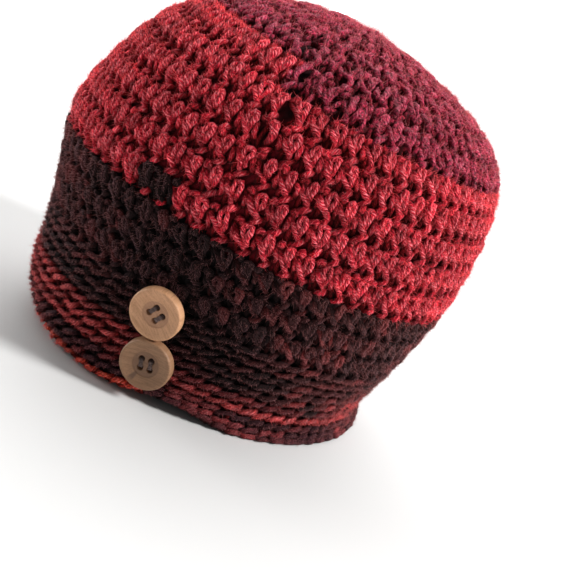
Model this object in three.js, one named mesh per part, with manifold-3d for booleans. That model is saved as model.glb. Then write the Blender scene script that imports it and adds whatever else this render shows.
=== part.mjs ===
// A slouchy crocheted hat worked in rounds from the crown centre down to a ribbed band,
// with two turned wooden buttons sewn one above the other on the wearer's left.
// Millimetres, +Z up, -Y is the wearer's front, +X the wearer's left.
// The hat stands on its rim, on the plane z = 0.
import * as THREE from 'three';
import { mergeVertices } from 'three/addons/utils/BufferGeometryUtils.js';
import Module from 'manifold-3d';

// The whole hat
const hatHeight = 191;
const hatLength = 216;
const hatWidth = 193;
const wallThickness = 5.5;
const rimLift = 5.5;
const pieceGap = 0.3;

// Crochet rounds, counted from the crown centre to the rim
const crownRounds = 6;
const bodyRounds = 5;
const lowerRounds = 3;
const bandRounds = 10;
const crownGroove = 1.7;
const bandGroove = 1.1;
const centreDimple = 1.5;

// The two buttons
const buttonDiameter = 25;
const buttonThickness = 5.5;
const buttonRecess = 13;
const recessDepth = 1.6;
const buttonEdgeRound = 0.9;
const holeDiameter = 2.4;
const holeSpacing = 4.6;
const buttonClearance = 0.4;
const buttonSpacing = buttonDiameter + buttonClearance;
const lowerButtonRise = 21.9;
const threadDiameter = 1.5;

// Where each button is sewn: its centre's height, its angle round the hat from +X,
// and the way its stitches run in its own plane, both in degrees
const buttons = [
  { name: 'upper', height: lowerButtonRise + buttonSpacing, angle: -4, turn: -30 },
  { name: 'lower', height: lowerButtonRise, angle: -0.5, turn: 14 },
];

// Where the rim lifts: round the ears, in shares of the section's reach, and below this place.
// Above the rim's underside each round rises by at least leastRise.
const earPlace = 0.08;
const earSpan = 0.48;
const liftStart = 3.5;
const leastRise = 0.4;

// How finely the knitted walls are faceted
const segmentsAround = 48;
const stepsPerRound = 3;
const innerSteps = 12;
const sectionPower = 2.15;

const bandTop = crownRounds + bodyRounds + lowerRounds;
const lastRound = bandTop + bandRounds;
const halfLength = hatLength / 2;
const halfWidth = hatWidth / 2;

// Sections of the outside. place: 0 crown centre, 1 widest-crown edge, 2 lower edge of the body,
// 3 top of the band, 4 rim. rise and lean are shares of hatHeight, shift and reach shares of
// halfLength, side a share of halfWidth. lean is how much the section's front end lies above its
// middle and its back end below it.
const sections = [
  { place: 0.0, rise: 1.0, shift: 0.1925, reach: 0.0, side: 0.0, lean: 0.0 },
  { place: 0.17, rise: 0.992, shift: 0.2125, reach: 0.163, side: 0.15, lean: 0.018 },
  { place: 0.33, rise: 0.975, shift: 0.2355, reach: 0.319, side: 0.3, lean: 0.034 },
  { place: 0.5, rise: 0.951, shift: 0.2365, reach: 0.47, side: 0.446, lean: 0.048 },
  { place: 0.67, rise: 0.923, shift: 0.2165, reach: 0.614, side: 0.6, lean: 0.062 },
  { place: 0.83, rise: 0.88, shift: 0.1805, reach: 0.738, side: 0.74, lean: 0.068 },
  { place: 1.0, rise: 0.821, shift: 0.1365, reach: 0.836, side: 0.858, lean: 0.067 },
  { place: 1.2, rise: 0.76, shift: 0.1025, reach: 0.9, side: 0.942, lean: 0.064 },
  { place: 1.5, rise: 0.655, shift: 0.0525, reach: 0.962, side: 0.992, lean: 0.066 },
  { place: 1.8, rise: 0.545, shift: 0.0025, reach: 1.0, side: 0.998, lean: 0.071 },
  { place: 2.0, rise: 0.47, shift: -0.0175, reach: 0.998, side: 0.993, lean: 0.072 },
  { place: 2.5, rise: 0.365, shift: -0.0345, reach: 0.966, side: 0.956, lean: 0.069 },
  { place: 3.0, rise: 0.265, shift: -0.0555, reach: 0.932, side: 0.92, lean: 0.064 },
  { place: 3.3, rise: 0.185, shift: -0.0795, reach: 0.906, side: 0.897, lean: 0.054 },
  { place: 3.6, rise: 0.098, shift: -0.106, reach: 0.888, side: 0.881, lean: 0.039 },
  { place: 3.8, rise: 0.042, shift: -0.09, reach: 0.872, side: 0.879, lean: 0.022 },
  { place: 4.0, rise: 0.0, shift: -0.028, reach: 0.843, side: 0.884, lean: 0.0 },
];

// Turns a count of rounds into the place column's scale.
function placeOfRound(round) {
  const edges = [0, crownRounds, crownRounds + bodyRounds, bandTop, lastRound];
  let zone = 0;
  while (zone < 3 && round > edges[zone + 1]) zone += 1;
  return zone + (round - edges[zone]) / (edges[zone + 1] - edges[zone]);
}

// Smooth curve through one column of the table, a cubic between each two rows.
function column(name, place) {
  const last = sections.length - 1;
  let row = 0;
  while (row < last - 1 && place > sections[row + 1].place) row += 1;
  const slope = (at) => {
    const before = sections[Math.max(at - 1, 0)];
    const after = sections[Math.min(at + 1, last)];
    return (after[name] - before[name]) / (after.place - before.place);
  };
  const low = sections[row];
  const high = sections[row + 1];
  const span = high.place - low.place;
  const t = (place - low.place) / span;
  const startValue = (2 * t - 3) * t * t + 1;
  const startSlope = ((t - 2) * t + 1) * t;
  const endValue = (3 - 2 * t) * t * t;
  const endSlope = (t - 1) * t * t;
  return startValue * low[name] + endValue * high[name]
    + span * (startSlope * slope(row) + endSlope * slope(row + 1));
}

function smoothStep(value) {
  const t = Math.min(Math.max(value, 0), 1);
  return t * t * (3 - 2 * t);
}

// A cosine or sine pushed outwards, so that a section is a little squarer than an ellipse.
function squared(value) {
  return Math.sign(value) * Math.abs(value) ** (2 / sectionPower);
}

// Point on the outer envelope of the hat. The rim rises over the ears, on both sides.
function envelope(round, angle) {
  const place = placeOfRound(round);
  const across = squared(Math.cos(angle));
  const along = squared(Math.sin(angle));
  const overEars = 1 - smoothStep(Math.abs(along - earPlace) / earSpan);
  const nearRim = smoothStep((place - liftStart) / (4 - liftStart));
  return new THREE.Vector3(
    column('side', place) * halfWidth * across,
    (column('shift', place) + column('reach', place) * along) * halfLength,
    (column('rise', place) - column('lean', place) * along) * hatHeight + rimLift * overEars * nearRim,
  );
}

// Unit vectors of the envelope at a point: down the hat, round it, and outwards.
function directions(round, angle) {
  const step = 0.01;
  const top = Math.max(round, 2 * step);
  const down = envelope(Math.min(top + step, lastRound), angle).sub(envelope(top - step, angle));
  const about = envelope(top, angle + step).sub(envelope(top, angle - step));
  const out = about.clone().cross(down).negate();
  return { down: down.normalize(), about: about.normalize(), out: out.normalize() };
}

// Depth of the groove between two rounds: each round is a soft roll.
function grooveDepth(round, depth) {
  const part = round - Math.floor(round + 1e-6);
  const fromEdge = Math.min(part, 1 - part) * stepsPerRound;
  return depth * (1 - smoothStep(fromEdge));
}

// Nothing reaches lower than the rim's underside.
function aboveRim(point, round, angle) {
  const lowest = envelope(lastRound, angle).z + leastRise * (lastRound - round);
  point.z = Math.max(point.z, lowest);
  return point;
}

function outerPoint(round, angle, depth) {
  const { out } = directions(round, angle);
  const dimple = centreDimple * (1 - smoothStep(round));
  const inward = grooveDepth(round, depth) + dimple;
  return aboveRim(envelope(round, angle).addScaledVector(out, -inward), round, angle);
}

function innerPoint(round, angle) {
  const { out } = directions(round, angle);
  return envelope(round, angle).addScaledVector(out, -wallThickness);
}

// A closed body from rings of points. A ring of one point is a pole.
function bodyFromRings(rings, closed) {
  const positions = [];
  const starts = rings.map((ring) => {
    const start = positions.length / 3;
    ring.forEach((point) => positions.push(point.x, point.y, point.z));
    return start;
  });
  const indices = [];
  const joints = closed ? rings.length : rings.length - 1;
  for (let i = 0; i < joints; i += 1) {
    const next = (i + 1) % rings.length;
    const count = Math.max(rings[i].length, rings[next].length);
    for (let j = 0; j < count; j += 1) {
      const k = (j + 1) % count;
      const a = starts[i] + (rings[i].length > 1 ? j : 0);
      const b = starts[i] + (rings[i].length > 1 ? k : 0);
      const c = starts[next] + (rings[next].length > 1 ? j : 0);
      const d = starts[next] + (rings[next].length > 1 ? k : 0);
      if (rings[i].length > 1) indices.push(a, c, b);
      if (rings[next].length > 1) indices.push(b, c, d);
    }
  }
  const geometry = new THREE.BufferGeometry();
  geometry.setAttribute('position', new THREE.Float32BufferAttribute(positions, 3));
  geometry.setIndex(indices);
  return geometry;
}

const angles = Array.from({ length: segmentsAround }, (_, i) => (2 * Math.PI * i) / segmentsAround);
const ringOf = (pointAt) => angles.map((angle) => pointAt(angle));

// The edge where crown and band meet, each held back by half the gap.
function seamPoint(angle, away, inward) {
  const { down, out } = directions(bandTop, angle);
  return envelope(bandTop, angle).addScaledVector(down, away).addScaledVector(out, -inward);
}

function crownGeometry() {
  const back = -pieceGap / 2;
  const rings = [[outerPoint(0, 0, crownGroove)]];
  for (let step = 1; step < bandTop * stepsPerRound; step += 1) {
    rings.push(ringOf((angle) => outerPoint(step / stepsPerRound, angle, crownGroove)));
  }
  rings.push(ringOf((angle) => seamPoint(angle, back, crownGroove)));
  rings.push(ringOf((angle) => seamPoint(angle, back, wallThickness)));
  for (let step = innerSteps - 1; step > 0; step -= 1) {
    rings.push(ringOf((angle) => innerPoint((bandTop * step) / innerSteps, angle)));
  }
  rings.push([innerPoint(0, 0)]);
  return bodyFromRings(rings, false);
}

// The band's lowest ring is flat underneath, where the hat stands.
function rimPoint(angle, inward) {
  const edge = envelope(lastRound, angle);
  const { out } = directions(lastRound, angle);
  const level = new THREE.Vector3(out.x, out.y, 0).normalize();
  return edge.addScaledVector(level, -inward);
}

function bandGeometry() {
  const forward = pieceGap / 2;
  const rings = [ringOf((angle) => seamPoint(angle, forward, crownGroove))];
  for (let step = 1; step < bandRounds * stepsPerRound; step += 1) {
    const round = bandTop + step / stepsPerRound;
    rings.push(ringOf((angle) => outerPoint(round, angle, bandGroove)));
  }
  rings.push(ringOf((angle) => rimPoint(angle, bandGroove)));
  rings.push(ringOf((angle) => rimPoint(angle, wallThickness)));
  const bandInnerSteps = innerSteps / 2;
  for (let step = bandInnerSteps - 1; step > 0; step -= 1) {
    const round = bandTop + (bandRounds * step) / bandInnerSteps;
    rings.push(ringOf((angle) => innerPoint(round, angle)));
  }
  rings.push(ringOf((angle) => seamPoint(angle, forward, wallThickness)));
  return bodyFromRings(rings, true);
}

const wasm = await Module();
wasm.setup();

function toSolid(geometry) {
  const bare = geometry.clone();
  bare.deleteAttribute('normal');
  bare.deleteAttribute('uv');
  const merged = mergeVertices(bare, 1e-4);
  return new wasm.Manifold(new wasm.Mesh({
    numProp: 3,
    vertProperties: new Float32Array(merged.attributes.position.array),
    triVerts: new Uint32Array(merged.index.array),
  }));
}

function toGeometry(solid) {
  const mesh = solid.getMesh();
  const geometry = new THREE.BufferGeometry();
  geometry.setAttribute('position', new THREE.BufferAttribute(mesh.vertProperties, 3));
  geometry.setIndex(new THREE.BufferAttribute(mesh.triVerts, 1));
  return geometry;
}

// Centres of the four sewing holes, in the button's own plane.
const holeCentres = [[-1, -1], [1, -1], [-1, 1], [1, 1]].map(([x, y]) => ({
  x: (x * holeSpacing) / 2,
  y: (y * holeSpacing) / 2,
}));

// A turned button: flat back, round edge, a rim that slopes in to a flat recess, four holes.
// Its own +Z points away from the hat and its back is at z = 0.
function buttonGeometry() {
  const radius = buttonDiameter / 2;
  const recess = buttonRecess / 2;
  const inset = buttonEdgeRound;
  const outline = [
    [0, 0],
    [radius - inset, 0],
    [radius, inset],
    [radius, buttonThickness - inset],
    [radius - inset * 0.3, buttonThickness - inset * 0.3],
    [radius - inset, buttonThickness],
    [recess + inset, buttonThickness - recessDepth * 0.45],
    [recess, buttonThickness - recessDepth],
    [0, buttonThickness - recessDepth],
  ].map(([x, y]) => new THREE.Vector2(x, y));
  const turned = new THREE.LatheGeometry(outline, 40);
  turned.rotateX(Math.PI / 2);
  let solid = toSolid(turned);
  for (const centre of holeCentres) {
    const drill = new THREE.CylinderGeometry(holeDiameter / 2, holeDiameter / 2, 3 * buttonThickness, 12);
    drill.rotateX(Math.PI / 2);
    drill.translate(centre.x, centre.y, 0);
    solid = solid.subtract(toSolid(drill));
  }
  return toGeometry(solid);
}

// One sewing stitch: up through a hole, over the face and down through the hole beside it.
function threadGeometry(side) {
  const radius = threadDiameter / 2;
  const x = (side * holeSpacing) / 2;
  const half = holeSpacing / 2;
  const top = buttonThickness - recessDepth + radius + pieceGap;
  const path = new THREE.CatmullRomCurve3([
    new THREE.Vector3(x, -half, 0),
    new THREE.Vector3(x, -half, top * 0.5),
    new THREE.Vector3(x, -half, top - radius),
    new THREE.Vector3(x, -half * 0.75, top),
    new THREE.Vector3(x, half * 0.75, top),
    new THREE.Vector3(x, half, top - radius),
    new THREE.Vector3(x, half, top * 0.5),
    new THREE.Vector3(x, half, 0),
  ], false, 'catmullrom', 0.3);
  const section = new THREE.Shape();
  section.absarc(0, 0, radius, 0, 2 * Math.PI);
  return new THREE.ExtrudeGeometry(section, { steps: 22, curveSegments: 4, extrudePath: path });
}

// The round whose envelope stands at a given height at one angle.
function roundAtHeight(height, angle) {
  let low = bandTop - lowerRounds;
  let high = lastRound;
  for (let i = 0; i < 40; i += 1) {
    const middle = (low + high) / 2;
    if (envelope(middle, angle).z > height) low = middle;
    else high = middle;
  }
  return (low + high) / 2;
}

// Where a button lies: its plane just clears the rounds that it covers.
function buttonSeat(height, angle, turn) {
  const round = roundAtHeight(height, angle);
  const { down, out } = directions(round, angle);
  const centre = envelope(round, angle);
  const reach = buttonDiameter / 2;
  const samples = 12;
  const roundStep = 0.25;
  const angleStep = (1.5 * buttonDiameter) / hatLength / samples;
  let proud = 0;
  for (let i = -samples; i <= samples; i += 1) {
    for (let j = -samples; j <= samples; j += 1) {
      const along = Math.min(round + i * roundStep, lastRound);
      const point = envelope(along, angle + j * angleStep).sub(centre);
      const away = point.dot(out);
      const sideways = Math.sqrt(Math.max(point.lengthSq() - away * away, 0));
      if (sideways <= reach) proud = Math.max(proud, away);
    }
  }
  const up = down.clone().negate();
  const right = up.clone().cross(out);
  const matrix = new THREE.Matrix4().makeBasis(right, up, out);
  const group = new THREE.Group();
  group.quaternion.setFromRotationMatrix(matrix);
  group.position.copy(centre).addScaledVector(out, proud + pieceGap);
  const turned = new THREE.Group();
  turned.rotation.z = THREE.MathUtils.degToRad(turn);
  group.add(turned);
  return { group, turned };
}

const burgundyYarn = new THREE.MeshStandardMaterial({ color: '#8a2233', roughness: 0.95, metalness: 0 });
const brownYarn = new THREE.MeshStandardMaterial({ color: '#3a2526', roughness: 0.95, metalness: 0 });
const beechWood = new THREE.MeshStandardMaterial({ color: '#c29a78', roughness: 0.55, metalness: 0 });
const greyThread = new THREE.MeshStandardMaterial({ color: '#5a4c4c', roughness: 0.9, metalness: 0 });

function piece(name, geometry, material) {
  const mesh = new THREE.Mesh(geometry, material);
  mesh.name = name;
  return mesh;
}

const hat = new THREE.Group();
hat.add(piece('crown', crownGeometry(), burgundyYarn));
hat.add(piece('band', bandGeometry(), brownYarn));

for (const { name, height, angle, turn } of buttons) {
  const { group, turned } = buttonSeat(height, THREE.MathUtils.degToRad(angle), turn);
  turned.add(piece(`button_${name}`, buttonGeometry(), beechWood.clone()));
  turned.add(piece(`thread_${name}_a`, threadGeometry(-1), greyThread.clone()));
  turned.add(piece(`thread_${name}_b`, threadGeometry(1), greyThread.clone()));
  hat.add(group);
}

export default hat;
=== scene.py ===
import math
from functools import partial

import bpy
import numpy as np
from mathutils import Matrix, Vector


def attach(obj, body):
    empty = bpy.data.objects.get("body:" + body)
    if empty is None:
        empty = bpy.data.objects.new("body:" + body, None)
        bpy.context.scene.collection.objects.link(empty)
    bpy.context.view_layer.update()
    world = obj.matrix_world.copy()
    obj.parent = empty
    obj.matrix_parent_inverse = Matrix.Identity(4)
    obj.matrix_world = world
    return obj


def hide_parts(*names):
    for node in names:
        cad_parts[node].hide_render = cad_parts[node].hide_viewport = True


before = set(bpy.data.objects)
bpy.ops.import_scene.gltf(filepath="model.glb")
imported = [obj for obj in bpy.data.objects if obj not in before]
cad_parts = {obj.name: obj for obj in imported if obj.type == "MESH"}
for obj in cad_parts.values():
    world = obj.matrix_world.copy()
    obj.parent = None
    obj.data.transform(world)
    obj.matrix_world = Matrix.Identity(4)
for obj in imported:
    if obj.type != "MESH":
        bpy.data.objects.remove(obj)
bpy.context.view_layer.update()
print("hat frame loaded")

millimetre = 0.001


def linearColour(hexColour):
    # sRGB to linear: ((c + 0.055) / 1.055) to the power 2.4, or c / 12.92 below 0.04045
    channels = np.array([int(hexColour[i:i + 2], 16) / 255 for i in (1, 3, 5)])
    bright = ((channels + 0.055) / 1.055) ** 2.4
    linear = np.where(channels > 0.04045, bright, channels / 12.92)
    return (*[float(c) for c in linear], 1.0)


def smoothStep(values):
    # 3t^2 - 2t^3 of the value held between 0 and 1
    t = np.clip(values, 0, 1)
    return t * t * (3 - 2 * t)


def unit(vectors):
    # each vector over its own length
    return vectors / np.maximum(np.linalg.norm(vectors, axis=-1, keepdims=True), 1e-12)


# The hat's shape, the same sections as the solid's.

hatShape = {
    "height": 191,
    "length": 216,
    "width": 193,
    "rimLift": 5.5,
    "earPlace": 0.08,
    "earSpan": 0.48,
    "liftStart": 3.5,
    "sectionPower": 2.15,
    "roundEdges": [0, 6, 11, 14, 24],
}
lastRound = hatShape["roundEdges"][-1]


def heldRound(rounds):
    # kept just off the crown's very centre and the rim
    return np.clip(rounds, 0.05, lastRound - 0.02)


# place, rise, shift, reach, side, lean
hatSections = np.array([
    [0.0, 1.0, 0.1925, 0.0, 0.0, 0.0],
    [0.17, 0.992, 0.2125, 0.163, 0.15, 0.018],
    [0.33, 0.975, 0.2355, 0.319, 0.3, 0.034],
    [0.5, 0.951, 0.2365, 0.47, 0.446, 0.048],
    [0.67, 0.923, 0.2165, 0.614, 0.6, 0.062],
    [0.83, 0.88, 0.1805, 0.738, 0.74, 0.068],
    [1.0, 0.821, 0.1365, 0.836, 0.858, 0.067],
    [1.2, 0.76, 0.1025, 0.9, 0.942, 0.064],
    [1.5, 0.655, 0.0525, 0.962, 0.992, 0.066],
    [1.8, 0.545, 0.0025, 1.0, 0.998, 0.071],
    [2.0, 0.47, -0.0175, 0.998, 0.993, 0.072],
    [2.5, 0.365, -0.0345, 0.966, 0.956, 0.069],
    [3.0, 0.265, -0.0555, 0.932, 0.92, 0.064],
    [3.3, 0.185, -0.0795, 0.906, 0.897, 0.054],
    [3.6, 0.098, -0.106, 0.888, 0.881, 0.039],
    [3.8, 0.042, -0.09, 0.872, 0.879, 0.022],
    [4.0, 0.0, -0.028, 0.843, 0.884, 0.0],
])
sectionPlaces = hatSections[:, 0]
rowCount = len(hatSections)
beforeRow = np.maximum(np.arange(rowCount) - 1, 0)
afterRow = np.minimum(np.arange(rowCount) + 1, rowCount - 1)
sectionSlopes = (hatSections[afterRow] - hatSections[beforeRow]) / (
    sectionPlaces[afterRow] - sectionPlaces[beforeRow])[:, None]


def sectionValues(place):
    # cubic Hermite curve through every column of the table at once
    row = np.clip(np.searchsorted(sectionPlaces, place, side="right") - 1, 0, rowCount - 2)
    span = (sectionPlaces[row + 1] - sectionPlaces[row])[..., None]
    t = (place - sectionPlaces[row])[..., None] / span
    startPart = ((2 * t - 3) * t * t + 1) * hatSections[row]
    endPart = (3 - 2 * t) * t * t * hatSections[row + 1]
    slopes = ((t - 2) * t + 1) * t * sectionSlopes[row] + (t - 1) * t * t * sectionSlopes[row + 1]
    return startPart + endPart + span * slopes


def hatPoint(rounds, angles):
    # outside of the hat, in metres: squared ellipses, one for each count of rounds, whose front
    # end is lifted by the lean, and whose rim rises over the ears
    place = np.interp(rounds, hatShape["roundEdges"], [0, 1, 2, 3, 4])
    values = sectionValues(place)
    power = 2 / hatShape["sectionPower"]
    across, along = (np.sign(wave) * np.abs(wave) ** power
                     for wave in (np.cos(angles), np.sin(angles)))
    overEars = 1 - smoothStep(np.abs(along - hatShape["earPlace"]) / hatShape["earSpan"])
    nearRim = smoothStep((place - hatShape["liftStart"]) / (4 - hatShape["liftStart"]))
    x = values[..., 4] * hatShape["width"] / 2 * across
    y = (values[..., 2] + values[..., 3] * along) * hatShape["length"] / 2
    z = (values[..., 1] - values[..., 5] * along) * hatShape["height"]
    z = z + hatShape["rimLift"] * overEars * nearRim
    return np.stack([x, y, z], -1) * millimetre


def hatDirections(rounds, angles):
    # unit vectors round the hat, down it and out of it, from differences of hatPoint
    step = 0.01
    top = np.clip(rounds, 2 * step, None)
    lower = np.minimum(top + step, lastRound)
    down = unit(hatPoint(lower, angles) - hatPoint(top - step, angles))
    about = unit(hatPoint(top, angles + step) - hatPoint(top, angles - step))
    return about, down, unit(-np.cross(about, down))


def insideHat(rounds, angles, depths):
    # the outside point moved inwards by a depth in millimetres
    out = hatDirections(rounds, angles)[2]
    return hatPoint(rounds, angles) - out * (depths * millimetre)[..., None]


def addNode(tree, kind, **values):
    # one shader node. Lower case names are its settings; in0, in1 and capitalised names are its
    # inputs, each a value, a hex colour or what feeds it: a socket, or a node for its first output
    node = tree.nodes.new("ShaderNode" + kind)
    for name, value in values.items():
        numbered = name[:2] == "in" and name[2:].isdigit()
        if name[0].islower() and not numbered:
            setattr(node, name, value)
            continue
        socket = node.inputs[int(name[2:]) if numbered else name.replace("_", " ")]
        if isinstance(value, bpy.types.Node):
            value = next(output for output in value.outputs if output.enabled)
        if isinstance(value, str):
            value = linearColour(value)
        if isinstance(value, bpy.types.NodeSocket):
            tree.links.new(value, socket)
        else:
            socket.default_value = value
    return node


def emptied(owner):
    # a material or world without nodes, and the function that adds one to it
    owner.use_nodes = True
    owner.node_tree.nodes.clear()
    return owner, partial(addNode, owner.node_tree)


def newObject(name, data):
    # at the origin, unturned and unscaled
    made = bpy.data.objects.new(name, data)
    bpy.context.scene.collection.objects.link(made)
    return made


def gridQuads(rows, columns, closed=False):
    # corners of the quads of a grid of points numbered row by row: every row is a ring
    r = np.arange(rows if closed else rows - 1)[:, None]
    c = np.arange(columns)[None]
    r2, c2 = (r + 1) % rows, (c + 1) % columns
    return np.stack(np.broadcast_arrays(r * columns + c, r * columns + c2, r2 * columns + c2,
                                        r2 * columns + c), -1).reshape(-1, 4)


def meshPiece(name, points, faceSets, material, colours, uv=None, fluff=None):
    # faceSets: arrays of corners, one array for each number of corners; uv is the first one's map
    mesh = bpy.data.meshes.new(name)
    corners = np.concatenate([faces.ravel() for faces in faceSets])
    sizes = np.concatenate([np.full(len(faces), faces.shape[1]) for faces in faceSets])
    mesh.vertices.add(len(points))
    mesh.vertices.foreach_set("co", points.astype(np.float32).ravel())
    mesh.loops.add(len(corners))
    mesh.loops.foreach_set("vertex_index", corners.astype(np.int32))
    mesh.polygons.add(len(sizes))
    mesh.polygons.foreach_set("loop_start", (np.cumsum(sizes) - sizes).astype(np.int32))
    mesh.update(calc_edges=True)
    mesh.polygons.foreach_set("use_smooth", np.ones(len(sizes), bool))
    if uv is not None:
        flat = np.zeros(2 * len(corners), np.float32)
        flat[:uv.size] = uv.ravel()
        mesh.uv_layers.new(name="yarnMap").data.foreach_set("uv", flat)
    layer = mesh.color_attributes.new("yarnColour", "FLOAT_COLOR", "POINT")
    layer.data.foreach_set("color", colours.astype(np.float32).ravel())
    if fluff is not None:
        layer = mesh.attributes.new("yarnFluff", "FLOAT", "POINT")
        layer.data.foreach_set("value", fluff.astype(np.float32).ravel())
    mesh.validate()
    mesh.materials.append(material)
    return newObject(name, mesh)


# Yarn.

wool = {
    "plies": 6,  # bundles of fibre that are twisted together
    "plyPitch": 9.0,  # mm of yarn for one full turn of them
    "fibreLength": 2.4,  # mm, and fibreWidth: drawn coarser than real wool so that they show
    "fibreWidth": 0.4,
    "roughness": 0.9,
    "sheen": 0.3,
    "sheenTint": "#f6aab6",
    # painted highlight: the brightest fibres are drawn shining
    "paintedGlint": 0.9,  # share of the brightest fibres that shine
    # painted shade: the colour is darker between two bundles
    "paintedReliefShade": 0.42,  # share of light left between two bundles
    "bump": 0.42,  # mm between a bundle's ridge and the valley beside it
    "tuft": 1.1,  # mm from tuft to tuft of loose fibre
    "driftsPerMetre": 190,  # patches of lighter and darker shade
}
cotton = {
    "plies": 2,
    "plyPitch": 1.6,
    "fibreLength": 1.0,
    "fibreWidth": 0.12,
    "roughness": 0.8,
    "sheen": 0.15,
    "sheenTint": "#b8aaa6",
    "paintedGlint": 0.3,
    "paintedReliefShade": 0.6,
    "bump": 0.15,
    "tuft": 0.8,
    "driftsPerMetre": 190,
}


def yarnMaterial(name, values, girth):
    # Plied yarn: round plies that wind round each strand, short fibres that lie along them,
    # soft and matt, painted shade between the plies, painted glints on the brightest fibres, and
    # shades that drift from place to place. girth is mm round a strand.
    material, add = emptied(bpy.data.materials.new(name))

    uv = add("UVMap", uv_map="yarnMap")
    parts = add("SeparateXYZ", Vector=uv)
    # the map's first part is the length in centimetres, its second the turn round the strand
    length, turn = parts.outputs["X"], parts.outputs["Y"]
    turnsAlong = add("Math", operation="MULTIPLY", in0=length, in1=10 / values["plyPitch"])
    turns = add("Math", operation="ADD", in0=turnsAlong, in1=turn)
    halfWaves = add("Math", operation="MULTIPLY", in0=turns, in1=math.pi * values["plies"])
    wave = add("Math", operation="SINE", in0=halfWaves)
    ridge = add("Math", operation="MULTIPLY", in0=wave, in1=wave)

    place = add("TexCoord").outputs["Object"]
    along = add("Math", operation="MULTIPLY", in0=length, in1=10 / values["fibreLength"])
    across = add("Math", operation="MULTIPLY", in0=turns, in1=girth / values["fibreWidth"] / 2)
    fibrePlace = add("CombineXYZ", X=along, Y=across)
    fibres = add("TexNoise", noise_dimensions="2D", Vector=fibrePlace, Scale=1.0, Detail=3.0,
                 Roughness=0.65)
    drift = add("TexNoise", Vector=place, Scale=values["driftsPerMetre"], Detail=3.0, Roughness=0.6)

    # fluff hides the bundles: the valleys fill up to its share, and its tufts are painted lighter
    # and darker by as much, as light and shade on loose fibre
    fluff = add("Attribute", attribute_name="yarnFluff").outputs["Fac"]
    tufts = add("TexNoise", Vector=place, Scale=1000 / values["tuft"], Detail=4.0, Roughness=0.7)
    filled = add("Math", operation="MAXIMUM", in0=ridge, in1=fluff)
    tuftRange = add("MapRange", Value=tufts, From_Min=0.42, From_Max=0.6, To_Min=-1.0, To_Max=1.1)
    paintedTuftLight = add("Math", operation="MULTIPLY_ADD", in0=tuftRange, in1=fluff, in2=1.0)
    tuftLift = add("Math", operation="MULTIPLY", in0=tufts, in1=fluff)

    shade = add("VertexColor", layer_name="yarnColour")
    # the alpha holds the share of light that the painted shade leaves
    paintedLightShare = shade.outputs["Alpha"]  # no light gets into deep places
    # painted shade: the colour is darker in the valleys between the plies
    paintedReliefShade = add("MapRange", Value=filled, From_Max=0.9, To_Min=values["paintedReliefShade"])
    speckle = add("MapRange", Value=fibres, From_Min=0.3, From_Max=0.7, To_Min=0.5, To_Max=1.6)
    tone = add("MapRange", Value=drift, From_Min=0.3, From_Max=0.7, To_Min=0.7, To_Max=1.25)
    both = add("Math", operation="MULTIPLY", in0=paintedReliefShade, in1=speckle)
    toned = add("Math", operation="MULTIPLY", in0=both, in1=tone)
    every = add("Math", operation="MULTIPLY", in0=toned, in1=paintedTuftLight)
    colour = add("VectorMath", operation="SCALE", in0=shade, Scale=every)

    # painted glints: the brightest fibres are drawn shining where the painted light gets in:
    # 1.4 times the shade, and a share of white
    paintedShine = add("MapRange", Value=fibres, From_Min=0.5, From_Max=0.72, To_Max=values["paintedGlint"])
    paintedShineShare = add("Math", operation="MULTIPLY", in0=paintedShine, in1=paintedLightShare)
    white = add("VectorMath", operation="DOT_PRODUCT", in0=shade, in1=(0.52, 0.2, 0.2))
    bright = add("VectorMath", operation="MULTIPLY_ADD", in0=shade, in1=(1.4, 1.4, 1.4), in2=white)
    finished = add("Mix", data_type="RGBA", Factor=paintedShineShare, A=colour, B=bright)

    fibreLift = add("Math", operation="MULTIPLY_ADD", in0=fibres, in1=1.1, in2=filled)
    height = add("Math", operation="MULTIPLY_ADD", in0=tuftLift, in1=3.0, in2=fibreLift)
    # sheen is weakened where the painted shade is deep
    sheen = add("Math", operation="MULTIPLY", in0=paintedLightShare, in1=values["sheen"])
    bump = add("Bump", Height=height, Distance=values["bump"] * millimetre)
    shader = add("BsdfPrincipled", Roughness=values["roughness"], Sheen_Weight=sheen,
                 Sheen_Roughness=0.35, Sheen_Tint=values["sheenTint"], Normal=bump,
                 Base_Color=finished, IOR=1.45, Specular_IOR_Level=0.2)
    add("OutputMaterial", Surface=shader)
    return material


crownWool = yarnMaterial("plied wool blend, burgundy and red", wool, 8.5)
# the band's stitches are tight, so their fibres lie flatter, catch less light and get a
# smaller painted glint
tightWool = {**wool, "sheen": 0.22, "paintedGlint": 0.6}
bandWool = yarnMaterial("plied wool blend, dark brown", tightWool, 8.5)

# Shades of the self-striping yarn, and the degrees round the hat where the rounds change over.
stripes = {
    "burgundy": "#9c2240",
    "red": "#cb1c33",
    "brown": "#1d0b0a",
    "purple": "#38181f",
    "orange": "#d2442a",
    "deepRed": "#5e1a1d",
    "brick": "#b03a3a",
    "seam": {"rounds": [0, 4, 5, 6, 7, 8.5, 10, 11, 12, 15, 24],
             "degrees": [-18, -17, -12, -7, -3, -9, -10, -13, -9, -5, -1]},
    "burgundyRoundsBack": 6,
    "burgundyRoundsFront": 5,
    "farSide": 195,  # degrees past the seam where the burgundy of rounds 5 and 6 ends
    "earlyBrown": 12,  # degrees left of the seam over which round 11 is already brown
    "lastRed": 50,  # degrees past the seam where the red of round 20 ends,
    "lastEdgeRed": 14,  # and of round 22
    # patches of a neighbour's shade: waves round the hat, start, strength
    "patches": [[5, 0.4, 1.0], [11, 2.1, 0.8], [23, 4.4, 0.6]],
    "paler": [20, 46, 110, 160],  # degrees past the seam between which the brown is paler
    "palerShare": (1.3, 1.5, 1.5),
    "bandShade": 0.82,  # the brown of the band's first rounds, as a share of the crown's
}

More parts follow.
